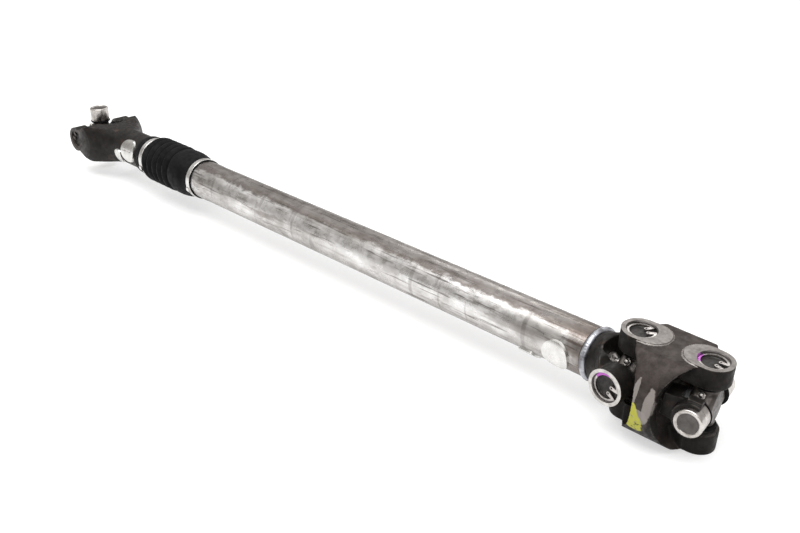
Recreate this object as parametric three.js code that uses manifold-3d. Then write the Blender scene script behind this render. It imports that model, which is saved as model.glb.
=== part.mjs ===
// Front propeller shaft: a slip yoke and single cross joint at one end, a bellows boot over the sliding
// spline, a long steel tube, and a double universal joint with a centring ball at the other end.
// Millimetres. +X runs along the tube towards the double joint, +Z is up. The origin is on the ground
// below the middle of the shaft.
import * as THREE from "three";
import { mergeVertices } from "three/addons/utils/BufferGeometryUtils.js";
import Module from "manifold-3d";

const wasm = await Module();
wasm.setup();

// ---------------------------------------------------------------- driving dimensions
const SHAFT_LENGTH = 1000; // axle cross to the double joint's inner cross
const CROSS_SPACING = 70; // inner cross to outer cross, in the link yoke
const INNER_CROSS_X = 462.4; // puts the middle of the whole shaft at x = 0
const TUBE_RADIUS = 25.4;
const TUBE_WALL = 2.4;
const CAP_RADIUS = 13.5; // bearing cap, 27 mm across
const CAP_FACE = 40.9; // cross centre to a cap's outer face
const CAP_LENGTH = 19;
const EAR_FACE = 44.5; // joint centre to an ear's machined outer face
const EAR_INNER = 24.2; // joint centre to an ear's inner face
const EAR_RADIUS = 17.9;
const GAP = 0.3; // kept between pieces that touch

// How the shaft lies: the double joint droops and swings to the side.
const DROOP = THREE.MathUtils.degToRad(5);
const SWING = THREE.MathUtils.degToRad(6.5);

// Joint crosses
const TRUNNION_RADIUS = 8.6;
const COLLAR_RADIUS = 11.6;
const COLLAR_END = 19;
const HUB_HALF_THICKNESS = 11.2;
const HUB_RADIUS = 18.6;
const PIN_CLEARANCE_RADIUS = 10.5; // hole through the inner cross for the centring pin

// Link yoke
const LINK_RADIUS = 50.5; // barrel-shaped body
const LINK_EAR_RADIUS = 18.6;
const LINK_LOWER_EAR_RADIUS = 17;
const LINK_TOP = 43.4; // as-forged top and bottom, a little inside the machined ears
const LINK_CAVITY_HALF_WIDTH = 37;
const ARCH_HALF_LENGTH = 25.6; // half-axes of the side arches round each cross
const ARCH_HALF_HEIGHT = 44.4;

// Slip end, measured from the axle cross towards the tube
const NECK_RADIUS = 25;
const NECK_START = 86;
const NECK_END = 172;
const SLEEVE_RADIUS = 20.5;
const SLEEVE_END = 206;
const SPLINE_TEETH = 16;
const SPLINE_ROOT = 13.6;
const SPLINE_TIP = 15.2;
const SPLINE_CLEARANCE = 0.35;
const TUBE_START = 262;
const BOOT_START = 146;
const BOOT_END = 298;
const SMALL_CLAMP_START = 159;
const LARGE_CLAMP_START = 283;
const CLAMP_WIDTH = 9;

// Double joint end, measured back from the inner cross towards the tube
const FRONT_WELD = 41;
const BALL_OFFSET = 35; // ball centre from either cross
const BALL_RADIUS = 10;
const PIN_RADIUS = 5;
const SOCKET_BORE = 10.8;
const SOCKET_RADIUS = 15;

const ROUND_STEPS = 20;
const SMALL_STEPS = 16;

// ---------------------------------------------------------------- materials
const material = (color, roughness, metalness) => new THREE.MeshStandardMaterial({ color, roughness, metalness });
const bareSteel = () => material(0xb4aea8, 0.38, 1.0);
const darkForging = () => material(0x35312f, 0.55, 0.7);
const linkForging = () => material(0x6e655f, 0.5, 0.8);
const groundSteel = () => material(0xc6c5c2, 0.22, 1.0);
const springSteel = () => material(0x77777a, 0.35, 1.0);
const plateSteel = () => material(0xd8d8d6, 0.3, 1.0);
const weldSteel = () => material(0x9fa3aa, 0.4, 1.0);
const rubber = () => material(0x1c1c1d, 0.85, 0.0);

// ---------------------------------------------------------------- solids
/** A closed three.js geometry as a manifold solid. */
function solid(geometry) {
  const bare = geometry.clone();
  bare.deleteAttribute("normal");
  bare.deleteAttribute("uv");
  const merged = mergeVertices(bare, 1e-4);
  const index = merged.index.array;
  const kept = [];
  for (let i = 0; i < index.length; i += 3) {
    const [a, b, c] = [index[i], index[i + 1], index[i + 2]];
    if (a !== b && b !== c && c !== a) kept.push(a, b, c);
  }
  return new wasm.Manifold(
    new wasm.Mesh({
      numProp: 3,
      vertProperties: new Float32Array(merged.attributes.position.array),
      triVerts: new Uint32Array(kept),
    }),
  );
}

/** A solid of revolution about X from a closed outline of [x, radius] points. */
function revolve(outline, steps = ROUND_STEPS) {
  const points = outline.map(([x, radius]) => new THREE.Vector2(radius, x));
  if (THREE.ShapeUtils.isClockWise(points)) points.reverse();
  const onAxis = points.findIndex((point) => point.x === 0);
  if (onAxis < 0) {
    points.push(points[0].clone());
  } else {
    // start on the axis, so that the profile runs from the axis back to the axis
    while (!(points[0].x === 0 && points.at(-1).x === 0)) points.push(points.shift());
  }
  return solid(new THREE.LatheGeometry(points, steps).rotateZ(-Math.PI / 2));
}

/** A cylinder of a given radius along X, Y or Z, from one place to another on that axis. */
function rod(axis, radius, from, to, steps = SMALL_STEPS) {
  const geometry = new THREE.CylinderGeometry(radius, radius, to - from, steps);
  geometry.translate(0, (from + to) / 2, 0);
  if (axis === "x") geometry.rotateZ(-Math.PI / 2);
  if (axis === "z") geometry.rotateX(Math.PI / 2);
  return solid(geometry);
}

function block(sizeX, sizeY, sizeZ, x = 0, y = 0, z = 0) {
  return solid(new THREE.BoxGeometry(sizeX, sizeY, sizeZ).translate(x, y, z));
}

function slab(shape, depth, steps = 6) {
  const geometry = new THREE.ExtrudeGeometry(shape, { depth, bevelEnabled: false, curveSegments: steps });
  return geometry.translate(0, 0, -depth / 2);
}

/** An outline drawn in plan (x, y), as thick as `depth` about z = 0. */
const planSlab = (shape, depth, steps) => solid(slab(shape, depth, steps));

/** An outline drawn in side view (x, z), as thick as `depth` about y = 0. */
const sideSlab = (shape, depth, steps) => solid(slab(shape, depth, steps).rotateX(Math.PI / 2));

/** An outline drawn end on (y, z), from x = `from` to x = `to`. */
function endSlab(shape, from, to, steps) {
  const geometry = slab(shape, to - from, steps);
  geometry.rotateX(Math.PI / 2).rotateZ(Math.PI / 2);
  return solid(geometry.translate((from + to) / 2, 0, 0));
}

/** Both of a pair of solids: `make(-1)` joined to `make(1)`. */
const both = (make) => make(-1).add(make(1));

function shapeFrom(points) {
  return new THREE.Shape(points.map(([a, b]) => new THREE.Vector2(a, b)));
}

function toGeometry(body) {
  const mesh = body.getMesh();
  const geometry = new THREE.BufferGeometry();
  geometry.setAttribute("position", new THREE.BufferAttribute(mesh.vertProperties, 3));
  geometry.setIndex(new THREE.BufferAttribute(mesh.triVerts, 1));
  return geometry;
}

/** Adds a named mesh to a group and returns it. */
function place(group, name, body, surface) {
  const mesh = new THREE.Mesh(toGeometry(body), surface);
  mesh.name = name;
  group.add(mesh);
  return mesh;
}

// ---------------------------------------------------------------- placement groups
const axisHeight =
  EAR_FACE * Math.cos(DROOP) + (CROSS_SPACING * Math.cos(SWING) + LINK_EAR_RADIUS) * Math.sin(DROOP);

const shaft = new THREE.Group();

const axleJoint = new THREE.Group(); // origin on the axle cross
axleJoint.position.set(INNER_CROSS_X - SHAFT_LENGTH, 0, axisHeight);
shaft.add(axleJoint);

const innerJoint = new THREE.Group(); // origin on the inner cross, square to the tube
innerJoint.position.set(INNER_CROSS_X, 0, axisHeight);
shaft.add(innerJoint);

const innerCrossFrame = new THREE.Group();
innerCrossFrame.rotation.y = DROOP;
innerJoint.add(innerCrossFrame);

const linkFrame = new THREE.Group();
linkFrame.rotation.z = SWING;
innerCrossFrame.add(linkFrame);

const outerCrossFrame = new THREE.Group(); // origin on the outer cross
outerCrossFrame.position.x = CROSS_SPACING;
outerCrossFrame.rotation.z = SWING;
linkFrame.add(outerCrossFrame);

const outputFrame = new THREE.Group(); // square to the transfer case's shaft
outputFrame.rotation.y = DROOP;
outerCrossFrame.add(outputFrame);

// ---------------------------------------------------------------- cross, caps, seals, snap rings
/** Four trunnions along Y and Z on a short round hub. */
function crossBody(hasPinHole) {
  let body = rod("x", HUB_RADIUS, -HUB_HALF_THICKNESS, HUB_HALF_THICKNESS);
  for (const axis of ["y", "z"]) {
    body = body.add(rod(axis, TRUNNION_RADIUS, -CAP_FACE + 2.7, CAP_FACE - 2.7, 16));
    body = body.add(rod(axis, COLLAR_RADIUS, -COLLAR_END, COLLAR_END, 16));
  }
  if (hasPinHole) {
    body = body.subtract(rod("x", PIN_CLEARANCE_RADIUS, -20, 20));
  }
  return body.subtract(fittingHole());
}

/** Turns something built along +X onto one of the four trunnion directions. */
const trunnionTurns = {
  "+y": new THREE.Matrix4().makeRotationZ(Math.PI / 2),
  "-y": new THREE.Matrix4().makeRotationZ(-Math.PI / 2),
  "+z": new THREE.Matrix4().makeRotationY(-Math.PI / 2),
  "-z": new THREE.Matrix4().makeRotationY(Math.PI / 2),
};

function placeOnTrunnion(group, name, body, direction, surface) {
  const mesh = place(group, name, body, surface);
  mesh.geometry.applyMatrix4(trunnionTurns[direction]);
  return mesh;
}

/** A drawn steel cup, open towards the cross. */
function bearingCap() {
  const open = CAP_FACE - CAP_LENGTH;
  const bore = TRUNNION_RADIUS + 2.4;
  const floor = CAP_FACE - 2.4;
  const outline = [
    [CAP_FACE, 0],
    [CAP_FACE, CAP_RADIUS],
    [open, CAP_RADIUS],
    [open, bore],
    [floor, bore],
    [floor, 0],
  ];
  return revolve(outline, ROUND_STEPS);
}

/** The rubber lip seal between a collar and its cap. */
function capSeal() {
  const outer = CAP_RADIUS + 0.9;
  const inner = TRUNNION_RADIUS + GAP;
  const start = COLLAR_END + GAP;
  const end = CAP_FACE - CAP_LENGTH - GAP;
  return revolve([[start, inner], [start, outer - 0.8], [end, outer], [end, inner]], SMALL_STEPS);
}

const SNAP_RING_START = CAP_FACE + GAP;
const SNAP_RING_END = SNAP_RING_START + 1.4;
const GROOVE_RADIUS = 15.1;

/** A flat open ring whose two ends turn inwards for the pliers. */
function snapRing(turn) {
  const outer = GROOVE_RADIUS - GAP;
  const halfGap = THREE.MathUtils.degToRad(21);
  const ring = new THREE.Shape();
  ring.absarc(0, 0, outer, halfGap, 2 * Math.PI - halfGap, false);
  ring.absarc(0, 0, outer - 3, 2 * Math.PI - halfGap, halfGap, true);
  const thickness = SNAP_RING_END - SNAP_RING_START;
  let body = endSlab(ring, SNAP_RING_START, SNAP_RING_END, 8);
  for (const side of [-1, 1]) {
    body = body.add(block(thickness, 8, 2.4, (SNAP_RING_START + SNAP_RING_END) / 2, 9.3, side * 3.7));
  }
  return body.rotate([turn, 0, 0]);
}

/** A bearing bore and snap-ring groove through both ears on the given axis. */
function earBores(axis) {
  const radius = CAP_RADIUS + GAP;
  const length = EAR_FACE + 10;
  let bores = rod(axis, radius, -length, 8 - EAR_INNER, ROUND_STEPS);
  bores = bores.add(rod(axis, radius, EAR_INNER - 8, length, ROUND_STEPS));
  for (const side of [-1, 1]) {
    const ends = [side * (SNAP_RING_START - GAP / 2), side * (SNAP_RING_END + GAP)].sort((a, b) => a - b);
    bores = bores.add(rod(axis, GROOVE_RADIUS, ends[0], ends[1], ROUND_STEPS));
  }
  return bores;
}

/** Leans something built along +Z into the crotch between the -Y and +Z trunnions. */
function onFittingAxis(body) {
  return body.rotate([45, 0, 0]);
}

function fittingHole() {
  return onFittingAxis(rod("z", 2.6, 13.5, 30, 12));
}

function greaseFitting() {
  const outline = [[13.8, 0], [13.8, 2.2], [20.4, 2.2], [20.4, 3.5], [22.2, 3.5], [23, 2], [24.4, 2.5], [25.4, 1.4], [25.4, 0]];
  return onFittingAxis(revolve(outline, 12).rotate([0, -90, 0]));
}

/** One joint's cross with its caps, seals and fitting; cap groups say which frame holds which cap. */
function addCross(prefix, crossGroup, hasPinHole, capGroups) {
  place(crossGroup, `${prefix}_cross`, crossBody(hasPinHole), groundSteel());
  place(crossGroup, `${prefix}_grease_fitting`, greaseFitting(), plateSteel());
  for (const [direction, { label, group }] of Object.entries(capGroups)) {
    placeOnTrunnion(group, `${prefix}_cap_${label}`, bearingCap(), direction, groundSteel());
    placeOnTrunnion(crossGroup, `${prefix}_seal_${label}`, capSeal(), direction, rubber());
  }
}

// ---------------------------------------------------------------- forks
/** Side outline of a fork: round ears that spread in straight lines to a corner, then run into the neck. */
function forkSideOutline(neckRadius, neckX, belly, endX) {
  const earAngle = THREE.MathUtils.degToRad(62);
  const tangent = [EAR_RADIUS * Math.cos(earAngle), EAR_RADIUS * Math.sin(earAngle)];
  const outline = new THREE.Shape();
  outline.moveTo(endX, -neckRadius);
  outline.lineTo(neckX, -neckRadius);
  outline.lineTo(neckX * 0.42, -belly);
  outline.lineTo(tangent[0], -tangent[1]);
  outline.absarc(0, 0, EAR_RADIUS, -earAngle, earAngle, true);
  outline.lineTo(neckX * 0.42, belly);
  outline.lineTo(neckX, neckRadius);
  outline.lineTo(endX, neckRadius);
  return outline;
}

/** Plan outline of the gap between the two ears. */
function throatOutline(depth) {
  const throat = new THREE.Shape();
  const bend = depth * 0.5;
  throat.moveTo(-60, -EAR_INNER);
  throat.lineTo(bend, -EAR_INNER);
  throat.bezierCurveTo(depth * 0.85, -EAR_INNER, depth, -EAR_INNER * 0.5, depth, 0);
  throat.bezierCurveTo(depth, EAR_INNER * 0.5, depth * 0.85, EAR_INNER, bend, EAR_INNER);
  throat.lineTo(-60, EAR_INNER);
  return throat;
}

/** Envelope of revolution that rounds a fork's arms into its neck. */
function forkEnvelope(outer, neckRadius, neckX, shoulderX, endX) {
  const outline = [[-25, 0], [-25, outer], [shoulderX, outer]];
  for (const part of [0.25, 0.5, 0.75]) {
    const x = THREE.MathUtils.lerp(shoulderX, neckX, part);
    const radius = THREE.MathUtils.lerp(outer, neckRadius, THREE.MathUtils.smoothstep(part, 0, 1));
    outline.push([x, radius]);
  }
  outline.push([neckX, neckRadius], [endX, neckRadius], [endX, 0]);
  return revolve(outline);
}

function fork({ reach, neckRadius, neckX, belly, shoulderX, throatDepth, endX }) {
  const ears = sideSlab(forkSideOutline(neckRadius, neckX, belly, endX), 2 * EAR_FACE);
  return ears
    .intersect(forkEnvelope(reach, neckRadius, neckX, shoulderX, endX))
    .subtract(planSlab(throatOutline(throatDepth), 120))
    .subtract(earBores("y"));
}

// ---------------------------------------------------------------- axle end: slip yoke and cross
/** Outline of the spline, end on, grown by `clearance` for the hole. */
function splineOutline(clearance) {
  const points = [];
  const pitch = (2 * Math.PI) / SPLINE_TEETH;
  const side = clearance / SPLINE_TIP;
  for (let tooth = 0; tooth < SPLINE_TEETH; tooth += 1) {
    const centre = tooth * pitch;
    const corners = [
      [-0.32 * pitch - side, SPLINE_ROOT + clearance],
      [-0.17 * pitch - side, SPLINE_TIP + clearance],
      [0.17 * pitch + side, SPLINE_TIP + clearance],
      [0.32 * pitch + side, SPLINE_ROOT + clearance],
    ];
    for (const [angle, radius] of corners) {
      points.push([radius * Math.cos(centre + angle), radius * Math.sin(centre + angle)]);
    }
  }
  return shapeFrom(points);
}

const THROAT_DEPTH = 48;
const PLUG_START = 70;
const PLUG_RADIUS = 17;

function slipYoke() {
  const forkPart = fork({
    reach: 50,
    neckRadius: NECK_RADIUS,
    neckX: NECK_START,
    belly: 27.2,
    shoulderX: 30,
    throatDepth: THROAT_DEPTH,
    endX: NECK_END,
  });
  return forkPart
    .add(rod("x", SLEEVE_RADIUS, NECK_END - 2, SLEEVE_END, ROUND_STEPS))
    .subtract(endSlab(splineOutline(SPLINE_CLEARANCE), PLUG_START + 4, SLEEVE_END + 5))
    .subtract(rod("x", PLUG_RADIUS, THROAT_DEPTH - 15, PLUG_START + 4, ROUND_STEPS));
}

place(axleJoint, "slip_yoke", slipYoke(), darkForging());
place(axleJoint, "slip_yoke_plug", rod("x", PLUG_RADIUS - GAP, PLUG_START, PLUG_START + 2.5, ROUND_STEPS), plateSteel());

addCross("axle", axleJoint, false, {
  "-y": { label: "near", group: axleJoint },
  "+y": { label: "far", group: axleJoint },
  "+z": { label: "upper", group: axleJoint },
  "-z": { label: "lower", group: axleJoint },
});
placeOnTrunnion(axleJoint, "axle_snap_ring_near", snapRing(150), "-y", springSteel());
placeOnTrunnion(axleJoint, "axle_snap_ring_far", snapRing(-30), "+y", springSteel());

/** A curved balance weight that hugs a round part: angles in degrees from the -Y side, upwards. */
function balanceWeight(innerRadius, thickness, from, to, lowAngle, highAngle) {
  const [low, high] = [lowAngle, highAngle].map((angle) => Math.PI - THREE.MathUtils.degToRad(angle));
  const outline = new THREE.Shape();
  outline.absarc(0, 0, innerRadius + thickness, low, high, true);
  outline.absarc(0, 0, innerRadius, high, low, false);
  return endSlab(outline, from, to, 5);
}

place(axleJoint, "slip_weight_large", balanceWeight(NECK_RADIUS + GAP, 2.6, 107, 142, -20, 50), plateSteel());
place(axleJoint, "slip_weight_small", balanceWeight(NECK_RADIUS + GAP, 2.2, 87, 104, -42, 4), plateSteel());

// ---------------------------------------------------------------- boot, clamps, spline stub
/** Bellows boot: a collar on the neck, five folds, a smooth skirt and a collar on the tube. */
function bellowsBoot() {
  const outer = [
    [BOOT_START, 27],
    [BOOT_START + 2, 28],
    [SMALL_CLAMP_START - 1, 28],
    [SMALL_CLAMP_START - 1, 27],
    [SMALL_CLAMP_START + CLAMP_WIDTH + 1, 27],
    [SMALL_CLAMP_START + CLAMP_WIDTH + 1, 28],
    [170, 29],
  ];
  const folds = 5;
  const foldPitch = 12.4;
  for (let fold = 0; fold < folds; fold += 1) {
    const start = 171 + fold * foldPitch;
    outer.push([start + foldPitch / 2, 31.8], [start + foldPitch, 29.3]);
  }
  outer.push([238, 31.4], [260, 31.4], [270, 29.8], [276, 27.4], [LARGE_CLAMP_START - 1, 26.9]);
  outer.push([LARGE_CLAMP_START - 1, 26.3], [LARGE_CLAMP_START + CLAMP_WIDTH + 1, 26.3]);
  outer.push([LARGE_CLAMP_START + CLAMP_WIDTH + 1, 27], [BOOT_END, 27]);
  const inner = [
    [BOOT_END, TUBE_RADIUS + GAP],
    [270, TUBE_RADIUS + GAP],
    [258, 28.6],
    [176, 27],
    [NECK_END, NECK_RADIUS + GAP],
    [BOOT_START, NECK_RADIUS + GAP],
  ];
  return revolve([...outer, ...inner]);
}

/** A ring on the shaft's axis from `start`, `width` long, between two radii. */
const ring = (start, width, inner, outer, steps = ROUND_STEPS) =>
  revolve([[start, inner], [start, outer], [start + width, outer], [start + width, inner]], steps);

place(axleJoint, "boot", bellowsBoot(), rubber());
place(axleJoint, "boot_clamp_small", ring(SMALL_CLAMP_START, CLAMP_WIDTH, 27.3, 28.2), plateSteel());
place(axleJoint, "boot_clamp_large", ring(LARGE_CLAMP_START, CLAMP_WIDTH, 26.6, 27.6), plateSteel());

const STUB_START = 118;
const SPIGOT_RADIUS = TUBE_RADIUS - TUBE_WALL - GAP;
const STUB_SHOULDER = 250;

function splineStub() {
  return endSlab(splineOutline(0), STUB_START, 228)
    .add(rod("x", SPLINE_ROOT - 1, 226, STUB_SHOULDER + 2, ROUND_STEPS))
    .add(rod("x", TUBE_RADIUS - 0.6, STUB_SHOULDER, TUBE_START - 4.5, ROUND_STEPS))
    .add(rod("x", SPIGOT_RADIUS, TUBE_START - 6, TUBE_START + 22, ROUND_STEPS))
    .subtract(rod("x", SPIGOT_RADIUS - 5, TUBE_START + 6, TUBE_START + 30));
}

place(axleJoint, "spline_stub", splineStub(), groundSteel());
place(axleJoint, "stub_weld", ring(TUBE_START - 4.2, 3.9, SPIGOT_RADIUS + GAP, TUBE_RADIUS - 0.6), weldSteel());

// ---------------------------------------------------------------- tube and its fork
const tubeEnd = SHAFT_LENGTH - FRONT_WELD - 3.8;
place(axleJoint, "drive_tube", ring(TUBE_START, tubeEnd - TUBE_START, TUBE_RADIUS - TUBE_WALL, TUBE_RADIUS), bareSteel());

function weldBead() {
  const half = 3.5;
  const outline = [
    [-half, SPIGOT_RADIUS + GAP],
    [-half, TUBE_RADIUS + 0.6],
    [-half * 0.4, TUBE_RADIUS + 2.1],
    [half * 0.4, TUBE_RADIUS + 2.1],
    [half, TUBE_RADIUS + 0.6],
    [half, SPIGOT_RADIUS + GAP],
  ];
  return revolve(outline.map(([x, radius]) => [x - FRONT_WELD, radius]));
}

const PIN_SHANK_RADIUS = 8;
const TUBE_YOKE_THROAT = 27.5;
const TUBE_YOKE_NECK = FRONT_WELD - 3.8;

/** The tube's fork, drawn with its neck along +X and then turned round to meet the tube. */
function tubeYoke() {
  return fork({
    reach: 47.6,
    neckRadius: TUBE_RADIUS,
    neckX: TUBE_YOKE_NECK - 4,
    belly: 20.5,
    shoulderX: 4,
    throatDepth: TUBE_YOKE_THROAT,
    endX: TUBE_YOKE_NECK,
  })
    .add(rod("x", SPIGOT_RADIUS, TUBE_YOKE_NECK - 2, TUBE_YOKE_NECK + 30, ROUND_STEPS))
    .subtract(rod("x", PIN_SHANK_RADIUS + GAP, 0, TUBE_YOKE_NECK + 40))
    .subtract(rod("x", SPIGOT_RADIUS - 5, TUBE_YOKE_NECK + 12, TUBE_YOKE_NECK + 40))
    .rotate([0, 0, 180]);
}

function centringPin() {
  const shoulder = -24;
  const outline = [
    [-TUBE_YOKE_NECK - 10, 0],
    [-TUBE_YOKE_NECK - 10, PIN_SHANK_RADIUS],
    [shoulder, PIN_SHANK_RADIUS],
    [shoulder + 4, PIN_RADIUS],
    [BALL_OFFSET + 8.4, PIN_RADIUS],
    [BALL_OFFSET + 9.4, PIN_RADIUS - 1],
    [BALL_OFFSET + 9.4, 0],
  ];
  return revolve(outline, SMALL_STEPS);
}

/** The centring ball, drilled through for the pin. */
function centringBall() {
  const ball = solid(new THREE.SphereGeometry(BALL_RADIUS, 14, 9));
  return ball.subtract(rod("x", PIN_RADIUS + GAP, -20, 20)).translate([BALL_OFFSET, 0, 0]);
}

place(innerJoint, "tube_weld", weldBead(), weldSteel());
place(innerJoint, "tube_weight_large", balanceWeight(TUBE_RADIUS + GAP, 2.4, -88, -57, -42, 23), plateSteel());
place(innerJoint, "tube_weight_small", balanceWeight(TUBE_RADIUS + GAP, 2.2, -124, -103, -82, -36), plateSteel());
place(innerJoint, "tube_yoke", tubeYoke(), darkForging());
place(innerJoint, "centring_pin", centringPin(), groundSteel());
place(innerJoint, "centring_ball", centringBall(), groundSteel());

// ---------------------------------------------------------------- double joint
addCross("inner", innerCrossFrame, true, {
  "-y": { label: "near", group: innerJoint },
  "+y": { label: "far", group: innerJoint },
  "+z": { label: "upper", group: linkFrame },
  "-z": { label: "lower", group: linkFrame },
});
placeOnTrunnion(innerJoint, "inner_snap_ring_near", snapRing(130), "-y", springSteel());
placeOnTrunnion(innerJoint, "inner_snap_ring_far", snapRing(-50), "+y", springSteel());
placeOnTrunnion(linkFrame, "inner_snap_ring_upper", snapRing(70), "+z", springSteel());
placeOnTrunnion(linkFrame, "inner_snap_ring_lower", snapRing(-70), "-z", springSteel());

/** Plan outline of a machined ear pad: round at the ear, reaching `reach` towards the middle. */
function padOutline(radius, reach) {
  const pad = new THREE.Shape();
  pad.absarc(0, 0, radius, Math.PI / 2, -Math.PI / 2, false);
  pad.absarc(reach, 0, radius, -Math.PI / 2, Math.PI / 2, false);
  return pad;
}

/** An upper and a lower ear, together as tall as the machined faces allow. */
function earPair(reach) {
  const upper = planSlab(padOutline(LINK_EAR_RADIUS, reach), EAR_FACE).translate([0, 0, EAR_FACE / 2]);
  const lower = planSlab(padOutline(LINK_LOWER_EAR_RADIUS, reach), EAR_FACE).translate([0, 0, -EAR_FACE / 2]);
  return upper.add(lower);
}

/** The round-cornered opening through the link yoke's body, end on. */
function cavityOutline() {
  const radius = 13;
  const [halfWidth, halfHeight] = [LINK_CAVITY_HALF_WIDTH, EAR_INNER];
  const outline = new THREE.Shape();
  outline.absarc(halfWidth - radius, halfHeight - radius, radius, 0, Math.PI / 2, false);
  outline.absarc(radius - halfWidth, halfHeight - radius, radius, Math.PI / 2, Math.PI, false);
  outline.absarc(radius - halfWidth, radius - halfHeight, radius, Math.PI, 1.5 * Math.PI, false);
  outline.absarc(halfWidth - radius, radius - halfHeight, radius, 1.5 * Math.PI, 2 * Math.PI, false);
  return outline;
}

/** Two pairs of ears joined by a barrel-shaped body with arched sides. */
function linkYoke() {
  const [bodyStart, bodyEnd] = [4.5, CROSS_SPACING - 4.5];
  const barrel = revolve([
    [bodyStart, 0],
    [bodyStart, LINK_RADIUS - 2.5],
    [bodyStart + 6, LINK_RADIUS],
    [bodyEnd - 6, LINK_RADIUS],
    [bodyEnd, LINK_RADIUS - 2.5],
    [bodyEnd, 0],
  ], 28);
  let body = barrel.intersect(block(200, 200, 2 * LINK_TOP));
  const archWidth = 60;
  const earEdge = LINK_EAR_RADIUS + 1;
  for (const [x, facing, reach] of [[0, 1, 9], [CROSS_SPACING, -1, 7.5]]) {
    body = body.add(earPair(reach).scale([facing, 1, 1]).translate([x, 0, 0]));
    const arch = new THREE.Shape().absellipse(x, 0, ARCH_HALF_LENGTH, ARCH_HALF_HEIGHT, 0, 2 * Math.PI, false, 0);
    const cut = sideSlab(arch, archWidth, 24);
    body = body.subtract(both((side) => cut.translate([0, side * (earEdge + archWidth / 2), 0])));
    body = body.subtract(earBores("z").translate([x, 0, 0]));
  }
  return body.subtract(endSlab(cavityOutline(), -60, CROSS_SPACING + 60, 4));
}

place(linkFrame, "link_yoke", linkYoke(), linkForging());

addCross("outer", outerCrossFrame, false, {
  "-y": { label: "near", group: outputFrame },
  "+y": { label: "far", group: outputFrame },
});
const linkOuterEnd = new THREE.Group();
linkOuterEnd.position.x = CROSS_SPACING;
linkFrame.add(linkOuterEnd);
for (const [direction, label, turn] of [["+z", "upper", 200], ["-z", "lower", 20]]) {
  placeOnTrunnion(linkOuterEnd, `outer_cap_${label}`, bearingCap(), direction, groundSteel());
  placeOnTrunnion(outerCrossFrame, `outer_seal_${label}`, capSeal(), direction, rubber());
  placeOnTrunnion(linkOuterEnd, `outer_snap_ring_${label}`, snapRing(turn), direction, springSteel());
}

// ---------------------------------------------------------------- centring yoke and its socket
const SOCKET_MOUTH = -42;
const SOCKET_FLOOR = -18;
const SOCKET_BACK = -15.7;
const STRAP_FACE = 28; // outer faces of the arms
const SADDLE_FACE = 36; // outer faces of the saddles
const SADDLE_RADIUS = 17.3;
const SADDLE_END = 5; // the saddles are open beyond here, towards the transfer case
const BRIDGE = -29;

/** An open seat round the inner half of each bare cap, with a lug above and below. */
function saddles() {
  const width = SADDLE_FACE - EAR_INNER - GAP;
  const middle = EAR_INNER + GAP + width / 2;
  return both((side) => {
    const seat = rod("y", SADDLE_RADIUS, side * middle - width / 2, side * middle + width / 2, ROUND_STEPS);
    const lugs = both((end) => block(13, width - 3, 6, SADDLE_END - 6.5, side * (middle - 1.5), end * 16));
    return seat.add(lugs);
  }).subtract(block(40, 120, 60, SADDLE_END + 20, 0, 0));
}

/** Two arms from a bridge to the saddles on the bare caps; the bridge carries the ball socket. */
function centringYoke() {
  const arm = shapeFrom([
    [BRIDGE, -11],
    [-SADDLE_RADIUS * 0.6, -SADDLE_RADIUS * 0.8],
    [0, -SADDLE_RADIUS],
    [0, SADDLE_RADIUS],
    [-SADDLE_RADIUS * 0.6, SADDLE_RADIUS * 0.8],
    [BRIDGE, 11],
  ]);
  const strap = sideSlab(arm, 2 * STRAP_FACE).add(saddles());
  const throat = shapeFrom([
    [60, -EAR_INNER - GAP],
    [60, EAR_INNER + GAP],
    [-15, EAR_INNER + GAP],
    [SOCKET_BACK, EAR_INNER - 2],
    [SOCKET_BACK, -EAR_INNER + 2],
    [-15, -EAR_INNER - GAP],
  ]);
  return strap
    .subtract(planSlab(throat, 100))
    .subtract(rod("y", CAP_RADIUS + GAP, -60, 60, ROUND_STEPS))
    .add(rod("x", SOCKET_RADIUS, SOCKET_MOUTH, SOCKET_BACK))
    .subtract(rod("x", SOCKET_BORE, SOCKET_MOUTH - 5, SOCKET_FLOOR));
}

/** A coil spring that seats the socket on the ball. */
function centringSpring() {
  const turns = 2.5;
  const [start, end] = [SOCKET_FLOOR - 1, SOCKET_FLOOR - 5.6];
  const helix = Array.from({ length: 31 }, (_, step) => {
    const part = step / 30;
    const angle = 2 * Math.PI * turns * part;
    return new THREE.Vector3(THREE.MathUtils.lerp(start, end, part), 8.8 * Math.cos(angle), 8.8 * Math.sin(angle));
  });
  const wire = new THREE.Shape().absarc(0, 0, 0.6, 0, 2 * Math.PI, false);
  const path = new THREE.CatmullRomCurve3(helix);
  return solid(new THREE.ExtrudeGeometry(wire, { steps: 30, curveSegments: 2, extrudePath: path }));
}

place(outputFrame, "centring_yoke", centringYoke(), darkForging());
place(outputFrame, "centring_spring", centringSpring(), springSteel());

export default shaft;
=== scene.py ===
"""Looks for the front propeller shaft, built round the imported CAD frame.

Shapes are drawn in millimetres about their own joint, the way a workshop drawing gives them, and
`finish_piece` turns them into metres and sets them down on that joint in the row frame.
"""

import math

import bmesh
import bpy
from mathutils import Matrix, Vector


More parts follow.
